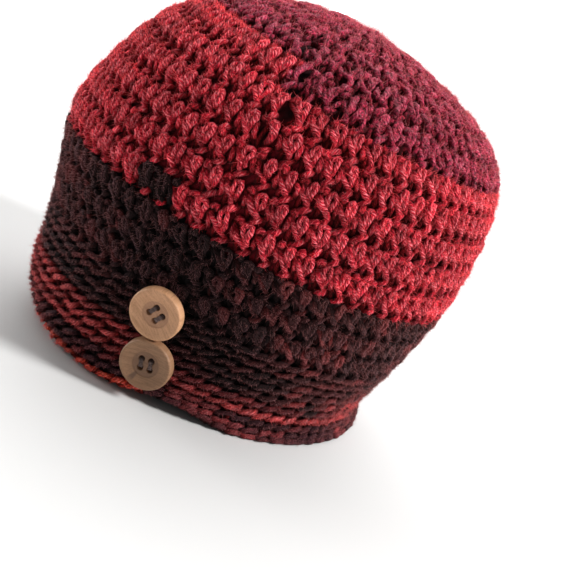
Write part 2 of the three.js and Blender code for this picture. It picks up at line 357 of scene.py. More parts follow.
stripeNames = ["burgundy", "red", "brown", "purple", "orange", "deepRed", "brick"]
burgundy, red, brown, purple, orange, deepRed, brick = range(len(stripeNames))
palette = np.array([linearColour(stripes[name])[:3] for name in stripeNames])


def patchShare(rounds, angles):
    # a sum of waves round the hat, each started elsewhere in every round, as a share from 0 to 1
    total = np.zeros(np.broadcast(rounds, angles).shape)
    for waves, start, strength in stripes["patches"]:
        total = total + strength * np.sin(waves * angles + start + 2.4 * waves * rounds)
    return smoothStep(0.5 + 0.45 * total)


def wrapAngle(values, half):
    # the same angle between minus and plus half a turn, in degrees or radians as half is
    return (values + half) % (2 * half) - half


def seamDegrees(rounds):
    # the line down the hat where each round starts, read from the table
    return np.interp(rounds - 0.5, stripes["seam"]["rounds"], stripes["seam"]["degrees"])


def stripeChoice(rounds, degrees):
    # the shade's place in the palette, from the whole round and how far it is past the seam
    past = (degrees - seamDegrees(rounds)) % 360
    front = past > stripes["farSide"]
    near = wrapAngle(degrees - seamDegrees(rounds), 180)
    choice = np.full(rounds.shape, red)
    choice[(rounds <= stripes["burgundyRoundsBack"]) & ~front] = burgundy
    choice[(rounds <= stripes["burgundyRoundsFront"]) & front] = burgundy
    choice[rounds >= 12] = brown
    choice[(rounds == 11) & (near < 0) & (near > -stripes["earlyBrown"])] = brown
    # the band: red rounds and a bright edge in front of the buttons, red fading out behind them
    choice[(rounds >= 19) & (rounds <= 21) & front] = brick
    choice[rounds >= 22] = purple
    choice[(rounds == 24) & front] = orange
    choice[(rounds == 20) & (past < stripes["lastRed"])] = deepRed
    choice[(rounds == 21) & ~front] = brick
    choice[(rounds == 22) & (past < stripes["lastEdgeRed"])] = deepRed
    return choice


# A stitch's strands, seen from outside. along: mm to the right of the stitch's middle,
# rise: mm below the top of the round, depth: mm under the hat's outside, thick: mm radius.
doubleCrochet = {
    "pitch": 8.8,
    "roundHeight": 14.5,
    "hairDepth": 2.3,  # mm of depth above which hairs grow
    "loop": {"sides": 6, "steps": 12, "thick": 1.42, "points": [
        [1.3, -10.6, 4], [0.6, -8.4, 2.4], [-0.5, -6, 1.7], [-1.3, -4, 1.5],
        [-1.3, -2.4, 1.5], [-0.5, -1.4, 1.5], [0.6, -1.4, 1.4], [1.2, -2.8, 1.4],
        [1.4, -5.6, 1.5], [1.4, -8.2, 2], [1.3, -10.8, 4]]},
    "wrap": {"sides": 6, "steps": 8, "thick": 1.5, "points": [
        [-4.4, -3.9, 4], [-3.6, -5.2, 2.3], [-1.9, -7.3, 1.8], [0.2, -9.4, 1.8],
        [1.8, -11.1, 2.1], [2.6, -12.4, 4]]},
    "knob": {"sides": 6, "steps": 6, "thick": 1.5, "points": [
        [3.3, -3, 3.4], [3.6, -1.4, 1.8], [4.4, -0.7, 1.55], [5.1, -1.5, 1.8],
        [5.3, -3.2, 3.4]]},
    "foot": {"sides": 6, "steps": 6, "thick": 1.55, "points": [
        [0.4, -16, 3.9], [1, -14.9, 2], [2.2, -13.6, 1.55], [3.3, -12.4, 2],
        [3.8, -11.2, 3.9]]},
    "side": {"sides": 6, "steps": 6, "thick": 1.35, "points": [
        [3, -4, 4], [3.7, -5.6, 2.3], [4.6, -7.4, 2], [5, -9.2, 2.3],
        [4.8, -10.8, 4]]},
    "postA": {"sides": 4, "steps": 4, "thick": 1.5, "points": [
        [-2.8, 0.5, 3.6], [-2.2, -5, 3.2], [-1.6, -10, 3.2], [-0.6, -15, 3.6]]},
}
singleCrochet = {
    "pitch": 8.3,
    "roundHeight": 5.3,
    "hairDepth": 1.9,
    "ridge": {"sides": 6, "steps": 8, "thick": 1.35, "points": [
        [-5.4, -3.9, 3.4], [-4.2, -3.2, 1.8], [-1.6, -2.4, 1.4], [1.4, -1.5, 1.4],
        [3.9, -0.8, 1.8], [5, -0.2, 3.4]]},
    "legA": {"sides": 4, "steps": 5, "thick": 1.1, "points": [
        [-3.4, -2.6, 3.3], [-2.2, -3.9, 2.4], [-1, -5, 2.4], [-0.2, -6.2, 3.4]]},
    "legB": {"sides": 4, "steps": 5, "thick": 1.1, "points": [
        [3, -2.4, 3.3], [2, -3.8, 2.4], [0.9, -4.9, 2.4], [0, -6.2, 3.4]]},
}
crochet = {
    "increases": 12,  # stitches more in each round of the crown
    "mostStitches": 72,
    # share of a strand's shade that may turn to its neighbour's: in the crown's last rounds, the
    # band's first ones, the rest of the band and its bright edge
    "crownPatches": 0.2,
    "bandTopPatches": 0.22,
    "bandPatches": 0.6,
    "edgePatches": 0.3,
    "drift": -0.386,  # shares of a stitch by which each round sets off from the one above
    "groove": 0.5,  # mm that strands sink towards the edge of a round
    "bandGroove": 0.8,
    "loose": 0.4,  # mm of unevenness of a strand's points
    "looseBurgundy": 2.0,  # times as much in the burgundy, which is hooked looser
    "thickSpread": 0.05,  # share by which strands differ in thickness
    "uneven": 0.09,  # share by which a strand's thickness wavers
    "fluff": 0.4,  # how much the fibres stand up, from 0 to 1
    "fluffBurgundy": 0.8,
    "lumps": 0.3,  # share of a strand's thickness that full fluff adds in lumps
    "shadeSpread": 0.15,
    # painted shade: strands are drawn darker with depth, as they get less light
    "shadeTop": 0.1,  # mm of depth from which strands get less light, over shadeReach mm,
    "shadeReach": 2.3,  # down to shadeLeft of their colour
    "shadeLeft": 0.08,
    # gaps by the seam where the rounds change over: round, degrees, mm that strands keep clear
    "gaps": [[4.3, -16.5, 3.9], [5.3, -7.5, 3.4], [5.95, -6.0, 3.0], [6.65, -2.5, 3.4],
             [7.5, -4.0, 3.0]],
    "seed": 7,
}


def stitchPlaces(firstRound, finalRound):
    # round number and angle of the middle of each stitch
    rounds, angles, pitches = [], [], []
    for number in range(firstRound, finalRound + 1):
        count = min(crochet["increases"] * number, crochet["mostStitches"])
        steps = np.arange(count) + 0.5 + crochet["drift"] * number
        rounds.append(np.full(count, number))
        angles.append(math.radians(seamDegrees(number)) + steps * 2 * math.pi / count)
        pitches.append(np.full(count, 2 * math.pi / count))
    return map(np.concatenate, (rounds, angles, pitches))


def smoothPath(points, steps):
    # Catmull-Rom curve through the points of many paths at once, as evenly stepped samples
    count = points.shape[1]
    padded = np.concatenate([2 * points[:, :1] - points[:, 1:2], points,
                             2 * points[:, -1:] - points[:, -2:-1]], 1)
    at = np.linspace(0, count - 1, steps)
    first = np.minimum(at.astype(int), count - 2)
    t = (at - first)[None, :, None]
    a, b, c, d = (padded[:, first + i] for i in range(4))
    return 0.5 * (2 * b + (c - a) * t + (2 * a - 5 * b + 4 * c - d) * t ** 2
                  + (3 * b - a - 3 * c + d) * t ** 3)


def tubes(paths, outwards, radii, sides):
    # a round tube along each path: rings across it, carried along without twist, with flat ends
    # and a map of centimetres along and turns round, joined on the inner side
    tangents = unit(np.gradient(paths, axis=1))
    across = np.empty_like(paths)
    lead = outwards[:, 0]
    for i in range(paths.shape[1]):
        lead = unit(lead - np.sum(lead * tangents[:, i], -1, keepdims=True) * tangents[:, i])
        across[:, i] = lead
    beside = np.cross(tangents, across)
    turn = np.pi + 2 * np.pi * np.arange(sides) / sides
    ring = (np.cos(turn)[None, None, :, None] * across[:, :, None]
            + np.sin(turn)[None, None, :, None] * beside[:, :, None])
    points = paths[:, :, None] + ring * radii[..., None]
    strands, steps = paths.shape[:2]
    quads = gridQuads(steps, sides)
    size = steps * sides
    offsets = (np.arange(strands) * size)[:, None, None]
    allQuads = (offsets + quads[None]).reshape(-1, 4)
    startCap = offsets[:, 0] + np.arange(sides)[None, ::-1]
    endCap = offsets[:, 0] + (size - sides) + np.arange(sides)[None]
    lengths = np.concatenate([np.zeros((strands, 1)), np.cumsum(
        np.linalg.norm(np.diff(paths, axis=1), axis=-1), 1)], 1) * 100
    rows = quads // sides
    around = np.array([0, 1, 1, 0])[None] + (quads[:, :1] % sides)
    uv = np.stack([lengths[:, rows], np.broadcast_to(around / sides, (strands, *around.shape))], -1)
    return points.reshape(-1, 3), allQuads, np.concatenate([startCap, endCap]), uv.reshape(-1, 2)


hairRoots = []  # places on the outer strands that hairs can grow from


def gapDistance(gap, stitch, atRound, atAngle, perRadian):
    # how far from the middle of a gap: radians aside, mm below and mm along the fabric
    aside = wrapAngle(atAngle - math.radians(gap[1]), np.pi)
    below = (atRound - gap[0]) * stitch["roundHeight"]
    return aside, below, np.hypot(aside * perRadian, below) + 0.01


def clearGaps(stitch, atRound, atAngle, perRadian):
    # pushes strands out of each gap: their distance d becomes the root of d^2 + R^2 e^-(d/2R)^2
    for gap in crochet["gaps"]:
        aside, below, away = gapDistance(gap, stitch, atRound, atAngle, perRadian)
        pushed = np.sqrt(away ** 2 + gap[2] ** 2 * np.exp(-(away / (2 * gap[2])) ** 2))
        atAngle = atAngle + aside * (pushed / away - 1)
        atRound = atRound + below * (pushed / away - 1) / stitch["roundHeight"]
    return heldRound(atRound), atAngle


def strandShades(strandName, rounds, angles, rng):
    # the stripe's colour, varied from strand to strand and in patches; round 11's feet keep the
    # shade above them
    number = rounds - ((strandName == "foot") & (rounds == 11))
    degrees = np.degrees(angles)
    choice = stripeChoice(number, degrees)
    shade = palette[choice]
    patch = patchShare(rounds, angles)[:, None] * rng.uniform(0.5, 1, (len(rounds), 1))
    # a red strand's neighbour is brown, and a dark one's is brick or deep red
    dark = np.where(rng.random((len(rounds), 1)) < 0.4, palette[brick], palette[deepRed])
    other = np.where(shade[:, :1] > 0.12, palette[brown], dark)
    edge = stripeChoice(rounds, degrees) == orange
    most = np.select([edge, rounds > 18, rounds > 14, rounds > 11],
                     [crochet[name + "Patches"] for name in ("edge", "band", "bandTop", "crown")])
    shade = shade + (other - shade) * patch * most[:, None]
    # the brown is drawn paler from behind the buttons and darker again towards the far side
    past = wrapAngle(degrees - seamDegrees(rounds), 180)
    start, full, fall, end = stripes["paler"]
    paler = smoothStep((past - start) / (full - start)) * smoothStep((end - past) / (end - fall))
    isBrown = choice == brown
    shade = shade * (1 + np.array(stripes["palerShare"]) * (paler * isBrown)[:, None])
    shade = shade * np.where(isBrown & (rounds > 14), stripes["bandShade"], 1)[:, None]
    return shade * (1 + crochet["shadeSpread"] * rng.normal(0, 1, (len(rounds), 1)))


def strandSet(stitch, strandName, rounds, angles, pitches, groove, rng):
    # one strand of the stitch at every place: its points, laid out in the hat's own rounds and
    # angles, joined by a smooth tube
    values = stitch[strandName]
    isBurgundy = stripeChoice(rounds, np.degrees(angles)) == burgundy
    loose = crochet["loose"] * np.where(isBurgundy, crochet["looseBurgundy"], 1.0)
    shape = np.array(values["points"], float)[None] + rng.normal(
        0, 1, (len(rounds), len(values["points"]), 3)) * [1, 1, 0.5] * loose[:, None, None]
    shape = smoothPath(shape, values["steps"])
    share = -shape[..., 1] / stitch["roundHeight"]
    perRadian = stitch["pitch"] / pitches[:, None]
    atRound = heldRound(rounds[:, None] - 1 + share)
    atAngle = angles[:, None] + shape[..., 0] / perRadian
    keep = np.ones(len(rounds), bool)
    for gap in crochet["gaps"]:
        away = gapDistance(gap, stitch, atRound, atAngle, perRadian)[2]
        keep &= (away.mean(1) > 0.8 * gap[2]) & (away.min(1) > 0.3 * gap[2])
    rounds, angles, shape, share, perRadian, atRound, atAngle, isBurgundy = (
        part[keep] for part in (rounds, angles, shape, share, perRadian, atRound, atAngle,
                                isBurgundy))
    atRound, atAngle = clearGaps(stitch, atRound, atAngle, perRadian)
    fromEdge = np.minimum(share % 1, 1 - share % 1) * 4
    depth = shape[..., 2] + groove * (1 - smoothStep(fromEdge))
    paths = insideHat(atRound, atAngle, depth)
    radii = values["thick"] * millimetre * rng.normal(1, crochet["thickSpread"], (len(rounds), 1))
    waver = smoothPath(rng.normal(1, crochet["uneven"], (len(rounds), 4, 1)), values["steps"])
    radii = radii * waver[..., 0]
    paths[..., 2] = np.maximum(paths[..., 2], radii)
    outwards = hatDirections(atRound, atAngle)[2]
    # fluffed yarn is lumpy: every point of a ring goes in or out a little
    fluff = np.where(isBurgundy, crochet["fluffBurgundy"], crochet["fluff"])
    lumps = 1 + crochet["lumps"] * fluff[:, None, None] * np.clip(rng.normal(
        0, 1, (*paths.shape[:2], values["sides"])), -2, 1.5)
    made = tubes(paths, outwards, radii[..., None] * lumps, values["sides"])
    made[0][:, 2] = np.maximum(made[0][:, 2], 0.0003)
    shade = strandShades(strandName, rounds, angles, rng)
    # painted shade: strands deeper in the fabric are drawn darker, as little light gets between
    # them
    lift = np.sum((made[0].reshape(*paths.shape[:2], -1, 3) - paths[:, :, None])
                  * outwards[:, :, None], -1) / millimetre
    paintedShadeShare = smoothStep((depth[..., None] - lift - crochet["shadeTop"]) / crochet["shadeReach"])
    light = (1 - (1 - crochet["shadeLeft"]) * paintedShadeShare)[..., None]
    # painted bounce light: light that has bounced between strands is redder, so green and blue
    # fade faster
    colours = np.clip(shade[:, None, None] * light ** np.array([0.8, 1.4, 1.4]), 0.0005, 1)
    # the alpha keeps the painted light's share, which weakens sheen and glints in deep places
    colours = np.concatenate([colours, light ** 2], -1).reshape(-1, 4)
    fluffs = np.broadcast_to(fluff[:, None, None], light.shape[:3]).reshape(-1)
    outer = depth < stitch["hairDepth"]
    hairRoots.append((paths[outer], outwards[outer], radii[outer],
                      np.broadcast_to(shade[:, None], paths.shape)[outer]))
    return (*made, colours, fluffs)


def stitchedPiece(name, stitch, firstRound, finalRound, strandNames, groove, material, seed):
    # every strand of every stitch in these rounds, joined in one mesh
    rng = np.random.default_rng(seed)
    rounds, angles, pitches = stitchPlaces(firstRound, finalRound)
    points, quads, uvs, colours, fluffs, caps = [], [], [], [], [], {}
    total = 0
    for strandName in strandNames:
        made = strandSet(stitch, strandName, rounds, angles, pitches, groove, rng)
        quads.append(made[1] + total)
        caps.setdefault(made[2].shape[1], []).append(made[2] + total)
        total += len(made[0])
        for parts, part in zip((points, uvs, colours, fluffs), (made[0], *made[3:])):
            parts.append(part)
    faceSets = [np.concatenate(faces) for faces in (quads, *(caps[s] for s in sorted(caps)))]
    points, uvs, colours, fluffs = map(np.concatenate, (points, uvs, colours, fluffs))
    piece = meshPiece(name, points, faceSets, material, colours, uvs, fluffs)
    print(name, "strands", len(rounds) * len(strandNames))
    return piece


dcStrands = ["loop", "wrap", "knob", "foot", "side", "postA"]
scStrands = ["ridge", "legA", "legB"]
crownPieces = []
for number, (part, firstRound, finalRound) in enumerate([
        ("top", 1, 6), ("body", 7, 9), ("middle", 10, 11), ("lower", 12, 14)]):
    crownPieces.append(stitchedPiece("crown_stitches_" + part, doubleCrochet, firstRound,
                                     finalRound, dcStrands, crochet["groove"], crownWool,
                                     crochet["seed"] + number))
crownRoots, lowerRoots = hairRoots[:3 * len(dcStrands)], hairRoots[3 * len(dcStrands):]
hairRoots = []
bandPiece = stitchedPiece("band_stitches", singleCrochet, 15, 24, scStrands,
                          crochet["bandGroove"], bandWool, crochet["seed"] + 4)
bandRoots = list(hairRoots)


# The fabric behind the stitches, and its face inside the hat.

fabricWall = {
    "outerDepth": 3.9,
    "innerDepth": 6.2,
    "rib": 0.8,  # mm that each round stands proud inside
    # painted shade: the outer skin between the stitches is drawn dark
    "dark": 0.16,  # share of the yarn's colour that is left between the stitches
    "inside": 0.75,  # and on the inner face
    "stepsAround": 120,
    "stepsPerRound": 4,
    "bump": 0.7,  # mm of the stitches' relief
    "fibresPerMetre": 900,
}


def fabricMaterial(name):
    # Inner face of crochet: rows of small slanting stitches between the rounds, soft and matt.
    # Relief: sin^2 of the stitch count, set off by a share of the round, plus fibres, with painted
    # shade in its hollows and painted light on its tops.
    material, add = emptied(bpy.data.materials.new(name))

    uv = add("UVMap", uv_map="yarnMap")  # stitches along, rounds down
    parts = add("SeparateXYZ", Vector=uv)
    slant = add("Math", operation="MULTIPLY", in0=parts.outputs["Y"], in1=0.6)
    column = add("Math", operation="ADD", in0=parts.outputs["X"], in1=slant)
    halfWaves = add("Math", operation="MULTIPLY", in0=column, in1=2 * math.pi)
    wave = add("Math", operation="SINE", in0=halfWaves)
    stitch = add("Math", operation="MULTIPLY", in0=wave, in1=wave)
    place = add("TexCoord").outputs["Object"]
    fibres = add("TexNoise", Vector=place, Scale=fabricWall["fibresPerMetre"], Detail=3.0,
                 Roughness=0.6)
    height = add("Math", operation="ADD", in0=stitch, in1=fibres)
    # painted shade and light: the colour follows the relief, darker in its hollows
    paintedReliefShade = add("MapRange", Value=height, From_Min=0.35, From_Max=1.3, To_Min=0.4, To_Max=1.15)
    shade = add("VertexColor", layer_name="yarnColour")
    colour = add("VectorMath", operation="SCALE", in0=shade, Scale=paintedReliefShade)
    bump = add("Bump", Height=height, Distance=fabricWall["bump"] * millimetre)
    shader = add("BsdfPrincipled", Roughness=wool["roughness"], Sheen_Weight=0.04,
                 Sheen_Roughness=0.4, Sheen_Tint=wool["sheenTint"], Normal=bump, Base_Color=colour,
                 IOR=1.45, Specular_IOR_Level=0.2)
    add("OutputMaterial", Surface=shader)
    return material


def wallPiece(name, firstEdge, finalEdge, material):
    # a closed skin: down over the rounds at one depth and back up inside at the other, where each
    # round bulges by a half sine
    per, around = fabricWall["stepsPerRound"], fabricWall["stepsAround"]
    outerEdges = np.linspace(firstEdge, finalEdge, (finalEdge - firstEdge) * 2 + 1)
    innerEdges = np.linspace(finalEdge, firstEdge, (finalEdge - firstEdge) * per + 1)
    edges = np.concatenate([outerEdges, innerEdges])
    rows = len(edges)
    inner = np.arange(rows) >= len(outerEdges)
    bulge = fabricWall["rib"] * np.abs(np.sin(np.pi * edges))
    depths = np.where(inner, fabricWall["innerDepth"] + bulge, fabricWall["outerDepth"])
    # the outer skin is painted dark as shade; the inner face keeps the inside share of the yarn's
    # colour
    dark = np.where(inner, fabricWall["inside"], fabricWall["dark"])
    turns = np.linspace(0, 2 * np.pi, around, endpoint=False)
    rounds, angles = np.meshgrid(heldRound(edges), turns, indexing="ij")
    points = insideHat(rounds, angles, depths[:, None] + np.zeros((1, around)))
    points[..., 2] = np.maximum(points[..., 2], 0.0006)
    closed = firstEdge > 0
    quads = gridQuads(rows, around, closed)[:, ::-1]
    row, column = quads // around, quads % around
    # the map counts stitches and rounds; the last column of a row ends on a whole turn
    wraps = (column == 0) & (column.max(1, keepdims=True) == around - 1)
    turn = (column + around * wraps) / around
    middle = edges[row].mean(1, keepdims=True)
    stitches = np.minimum(np.ceil(middle) * crochet["increases"], crochet["mostStitches"])
    uv = np.stack([turn * stitches, edges[row]], -1)
    faceSets = [quads]
    if not closed:
        faceSets.append(np.stack([np.arange(around), (rows - 1) * around
                                  + np.arange(around)[::-1]]))
    number = np.clip(np.ceil(rounds), 1, lastRound).astype(int)
    shades = palette[stripeChoice(number, np.degrees(angles))] * dark[:, None, None]
    # painted shade: the outer skin is drawn black behind the gaps, less 0.97 e^-(d/1.6R)^4 of its
    # colour
    for gap in crochet["gaps"]:
        away = gapDistance(gap, doubleCrochet, rounds, angles,
                           rounds * doubleCrochet["roundHeight"])[2]
        paintedHoleShade = 0.97 * ~inner[:, None] * np.exp(-(away / gap[2] / 1.6) ** 4)
        shades = shades * (1 - paintedHoleShade)[..., None]
    colours = np.concatenate([shades, np.ones((rows, around, 1))], -1).reshape(-1, 4)
    return meshPiece(name, points.reshape(-1, 3), faceSets, material, colours, uv)


crownWall = wallPiece("crown_wall", 0, 14, fabricMaterial("crocheted wool fabric, crown"))
bandWall = wallPiece("band_wall", 14, 24, fabricMaterial("crocheted wool fabric, band"))
for slotName, pieces in (("crown_yarn", [*crownPieces, crownWall]),
                         ("band_yarn", [bandPiece, bandWall])):
    for piece in pieces:
        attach(piece, "root")
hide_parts("crown")
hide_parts("band")
print("wall behind the stitches made")

# Buttons.

button = {
    "diameter": 25,
    "thickness": 5.5,
    "recess": 12.8,
    "recessDepth": 1.6,
    "holeDiameter": 2.8,
    "holeSpacing": 4.6,
    "clearance": 0.3,
    "stepsAround": 96,
    "face": "#ca9872",
    "grain": "#ad7e59",
    "fleck": "#835a40",
    "recessFinishAndShade": "#946a50",
    "crack": "#7d5b48",
    "grainWidth": 0.5,  # mm between grain lines
}
sewing = {"thread": 0.36, "strands": 3, "spread": 0.62, "arch": 0.35, "colour": "#6d5a55",
          "seed": 5}
buttonPlaces = [
    {"name": "upper", "height": 47.3, "angle": -4, "turn": -30, "grainTurn": 20, "tone": 0.95,
     "cracked": False},
    # the lower button's tone is painted shade: it is drawn much darker than the upper
    {"name": "lower", "height": 21.9, "angle": -0.5, "turn": 14, "grainTurn": 65, "tone": 0.5,
     "cracked": True},
]


def buttonSeat(values):
    # stands on the highest point of the hat under the button, square to the hat at its middle
    angle = math.radians(values["angle"])
    low, high = 11.0, float(lastRound)
    for _ in range(40):
        middle = (low + high) / 2
        if hatPoint(middle, angle)[2] > values["height"] * millimetre:
            low = middle
        else:
            high = middle
    about, down, out = hatDirections(low, angle)
    centre = hatPoint(low, angle)
    steps = np.arange(-12, 13)
    angleStep = 1.5 * button["diameter"] / hatShape["length"] / 12
    atRound, atAngle = np.meshgrid(np.minimum(low + steps * 0.25, lastRound),
                                   angle + steps * angleStep, indexing="ij")
    reach = hatPoint(atRound, atAngle) - centre
    away = reach @ out
    sideways = np.linalg.norm(reach - away[..., None] * out, axis=-1)
    proud = away[sideways <= button["diameter"] / 2 * millimetre].max()
    centre = centre + out * (proud + button["clearance"] * millimetre)
    turn = math.radians(values["turn"])
    right = np.cross(-down, out)
    x = math.cos(turn) * right - math.sin(turn) * down
    y = -math.sin(turn) * right - math.cos(turn) * down
    return centre, np.stack([x, y, out])


def roundCorner(centreR, centreH, radius, startDegrees, endDegrees, steps):
    # points of an arc in the plane of radius and height
    turn = np.radians(np.linspace(startDegrees, endDegrees, steps))
    return np.stack([centreR + radius * np.cos(turn), centreH + radius * np.sin(turn)], -1)


def buttonProfile():
    # flat back, round edges, a rim that slopes in, a small step and a flat recess
    radius, thick = button["diameter"] / 2, button["thickness"]
    recess, floorHeight = button["recess"] / 2, thick - button["recessDepth"]
    return np.concatenate([
        [[4.0, 0.0], [8.0, 0.0]],
        roundCorner(radius - 1.0, 1.0, 1.0, -90, 0, 7),
        roundCorner(radius - 1.0, thick - 1.0, 1.0, 0, 78, 8),
        [[radius - 1.7, thick - 0.1], [radius - 2.6, thick - 0.4], [recess + 1.6, thick - 0.98],
         [recess + 0.7, thick - 1.16], [recess + 0.25, thick - 1.24], [recess, thick - 1.36],
         [recess - 0.3, floorHeight + 0.04], [recess - 0.7, floorHeight], [3.6, floorHeight]],
    ])


def latheMesh(name, profile, steps):
    # the profile of radius and height turned about the height's axis, poles closed by one face
    turn = np.linspace(0, 2 * np.pi, steps, endpoint=False)
    points = np.stack([profile[:, :1] * np.cos(turn), profile[:, :1] * np.sin(turn),
                       np.broadcast_to(profile[:, 1:], (len(profile), steps))], -1)
    quads = gridQuads(len(profile), steps)
    caps = np.stack([np.arange(steps)[::-1], (len(profile) - 1) * steps + np.arange(steps)])
    mesh = bpy.data.meshes.new(name)
    mesh.from_pydata(points.reshape(-1, 3).tolist(), [], quads.tolist() + caps.tolist())
    return mesh


def woodMaterial(name, values):
    # Turned beech, lightly oiled: pale and satin, fine grain lines that run one way across the
    # face, short darker flecks, a darker hollow that is partly a duller finish and partly painted
    # shade, and on one a dark crack in from the edge.
    material, add = emptied(bpy.data.materials.new(name))

    uv = add("UVMap", uv_map="faceMap")  # millimetres from the middle
    grainTurn = (0, 0, math.radians(values["grainTurn"]))
    grainPlace = add("Mapping", Vector=uv, Rotation=grainTurn,
                     Scale=(0.09, 0.5 / button["grainWidth"], 1))
    grain = add("TexNoise", noise_dimensions="2D", Vector=grainPlace, Scale=1.0, Detail=5.0,
                Roughness=0.6)
    fleckPlace = add("Mapping", Vector=uv, Rotation=grainTurn, Scale=(0.9, 3.0, 1))
    flecks = add("TexNoise", noise_dimensions="2D", Vector=fleckPlace, Scale=1.0)
    grainShare = add("MapRange", Value=grain, From_Min=0.38, From_Max=0.66, To_Max=0.75)
    fleckShare = add("MapRange", Value=flecks, From_Min=0.6, From_Max=0.72, To_Max=0.55)
    plain = add("Mix", data_type="RGBA", Factor=grainShare, A=button["face"], B=button["grain"])
    flecked = add("Mix", data_type="RGBA", Factor=fleckShare, A=plain, B=button["fleck"])
    fromMiddle = add("VectorMath", operation="LENGTH", in0=uv)
    # the hollow is drawn darker: partly its duller finish, partly painted shade
    hollow = add("MapRange", Value=fromMiddle, From_Min=button["recess"] / 2 + 0.3,
                 From_Max=button["recess"] / 2 - 0.3, To_Max=0.6)
    colour = add("Mix", data_type="RGBA", Factor=hollow, A=flecked, B=button["recessFinishAndShade"])
    if values["cracked"]:
        # a wedge along one radius: narrow at the hollow, wider at the edge
        crackPlace = add("Mapping", vector_type="TEXTURE", Vector=uv,
                         Rotation=(0, 0, math.radians(-124)))
        crackParts = add("SeparateXYZ", Vector=crackPlace)
        outwards = crackParts.outputs["X"]
        side = add("Math", operation="ABSOLUTE", in0=crackParts.outputs["Y"])
        wedge = add("Math", operation="MULTIPLY", in0=outwards, in1=0.14)
        inside = add("Math", operation="SUBTRACT", in0=wedge, in1=side)
        edge = add("MapRange", Value=inside, From_Min=-0.2, From_Max=0.5, To_Max=0.8)
        start = add("MapRange", Value=outwards, From_Min=5.6, From_Max=6.6)
        stop = add("MapRange", Value=outwards, From_Min=9.2, From_Max=11.6, To_Min=1.0, To_Max=0.0)
        length = add("Math", operation="MULTIPLY", in0=start, in1=stop)
        share = add("Math", operation="MULTIPLY", in0=edge, in1=length)
        colour = add("Mix", data_type="RGBA", Factor=share, A=colour, B=button["crack"])
    # each button's colour is scaled as a whole by its tone; the lower one's low tone is painted
    # shade
    toned = add("VectorMath", operation="SCALE", in0=colour, Scale=values["tone"])
    bump = add("Bump", Height=grain, Strength=0.5, Distance=0.08 * millimetre)
    shader = add("BsdfPrincipled", Base_Color=toned, Roughness=0.5, IOR=1.5,
                 Specular_IOR_Level=0.35, Normal=bump)
    add("OutputMaterial", Surface=shader)
    return material


def makeButton(values):
    # the turned disc, less four holes whose mouths open in a small countersink
    centre, axes = buttonSeat(values)
    thick, floorHeight = button["thickness"], button["thickness"] - button["recessDepth"]
    name = "turned_button_" + values["name"]
    disc = newObject(name, latheMesh(name, buttonProfile(), button["stepsAround"]))
    hole = button["holeDiameter"] / 2
    drillShape = np.array([
        [hole, -2.0], [hole, floorHeight - 0.35], [hole + 0.12, floorHeight - 0.12],
        [hole + 0.4, floorHeight + 0.05], [hole + 0.9, thick + 2.0]])
    half = button["holeSpacing"] / 2
    for x, y in ((-half, -half), (half, -half), (-half, half), (half, half)):
        drillMesh = latheMesh("drill", drillShape, 24)
        drillMesh.transform(Matrix.Translation((x, y, 0)))
        drill = newObject("drill", drillMesh)
        cut = disc.modifiers.new("cut", "BOOLEAN")
        cut.solver = "EXACT"
        cut.object = drill
        bpy.context.view_layer.update()
        drilled = bpy.data.meshes.new_from_object(disc.evaluated_get(
            bpy.context.evaluated_depsgraph_get()))
        disc.modifiers.clear()
        disc.data = drilled
        bpy.data.objects.remove(drill)
    mesh = disc.data
    mesh.name = name
    local = np.empty(len(mesh.vertices) * 3, np.float32)
    mesh.vertices.foreach_get("co", local)
    local = local.reshape(-1, 3)
    corners = np.empty(len(mesh.loops), np.int32)
    mesh.loops.foreach_get("vertex_index", corners)
    layer = mesh.uv_layers.new(name="faceMap")
    layer.data.foreach_set("uv", local[corners, :2].ravel())
    mesh.vertices.foreach_set("co", (centre + local @ axes * millimetre).astype(np.float32).ravel())
    mesh.polygons.foreach_set("use_smooth", np.ones(len(mesh.polygons), bool))
    mesh.set_sharp_from_angle(angle=math.radians(40))
    mesh.materials.clear()
    mesh.materials.append(woodMaterial("turned beech, " + values["name"], values))
    mesh.update()
    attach(disc, "root")
    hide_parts("button_" + values["name"])
    return centre, axes


sewingThread = yarnMaterial("waxed cotton thread", cotton, 2.3)


def sewStitches(values, centre, axes):
    # each stitch: a few strands side by side, up one hole, over in a low arch and down the next
    rng = np.random.default_rng(sewing["seed"] + int(values["cracked"]))
    half = button["holeSpacing"] / 2
    face = button["thickness"] - button["recessDepth"]
    top = face + sewing["arch"]
    for letter, side in (("a", -1), ("b", 1)):
        shape = np.array([[0, -half, 0.6], [0, -half * 0.86, face - 0.9],
                          [0, -half * 0.72, face + 0.2], [0, -half * 0.4, top - 0.1],
                          [0, half * 0.05, top], [0, half * 0.45, top - 0.12],
                          [0, half * 0.74, face + 0.18], [0, half * 0.86, face - 0.9],
                          [0, half, 0.6]])
        beside = (np.arange(sewing["strands"]) - (sewing["strands"] - 1) / 2) * sewing["spread"]
        paths = np.repeat(shape[None], sewing["strands"], 0)
        paths[..., 0] += side * half + beside[:, None]
        paths += rng.normal(0, 0.07, paths.shape)
        paths = smoothPath(paths, 24)
        radii = np.full((*paths.shape[:2], 1), sewing["thread"])
        lead = np.broadcast_to(np.array([1.0, 0, 0]), paths.shape)
        points, quads, caps, uv = tubes(paths, lead, radii, 8)
        colours = np.tile(linearColour(sewing["colour"]), (len(points), 1))
        piece = meshPiece(f"sewn_stitch_{values['name']}_{letter}",
                          centre + points @ axes * millimetre, [quads, caps], sewingThread,
                          colours, uv * [0.001, 1])
        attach(piece, "root")
        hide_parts(f"thread_{values['name']}_{letter}")


for buttonPlace in buttonPlaces:
    seatCentre, seatAxes = makeButton(buttonPlace)
    sewStitches(buttonPlace, seatCentre, seatAxes)
print("buttons turned and sewn on")

# Stray hairs of the wool.

